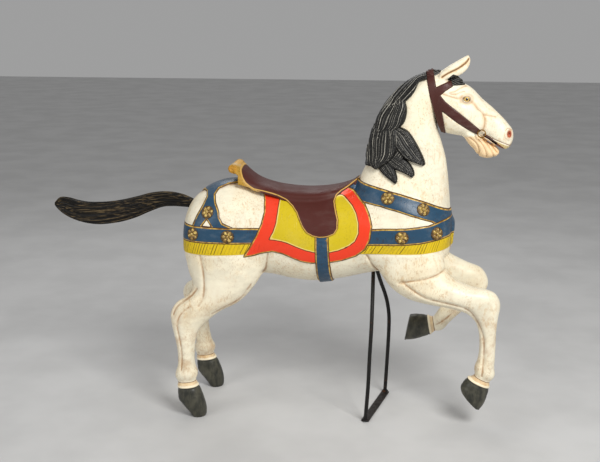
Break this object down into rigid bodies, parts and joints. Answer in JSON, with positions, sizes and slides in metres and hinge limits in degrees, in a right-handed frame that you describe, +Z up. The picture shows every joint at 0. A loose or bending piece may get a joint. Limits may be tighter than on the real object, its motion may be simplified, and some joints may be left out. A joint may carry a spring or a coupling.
{
  "type": "carousel horse",
  "caption": "Carved and painted wooden carousel horse, rearing on its hind hooves, with saddle, harness and an iron prop under the belly.",
  "frame": {"origin": "middle of the bounding box in plan, on the floor that the hind hooves and the prop's foot stand on", "axes": "+X towards the head, +Y the horse's left side, +Z up"},
  "size_m": [1.507, 0.3388, 1.177],
  "materials": {
    "painted_wood": "aged gloss paint over carved wood, ivory with painted trappings",
    "tail_wood": "dark stained and dry-brushed carved wood",
    "eye_glass": "amber glass with a black pupil",
    "bit_brass": "dull aged brass",
    "prop_iron": "black paint, rusty at the foot"
  },
  "bodies": {
    "root": {"horse": "painted_wood", "tail": "tail_wood", "eye_right": "eye_glass", "eye_left": "eye_glass", "bit_ring_right": "bit_brass", "bit_ring_left": "bit_brass", "prop_stand": "prop_iron"}
  },
  "joints": []
}
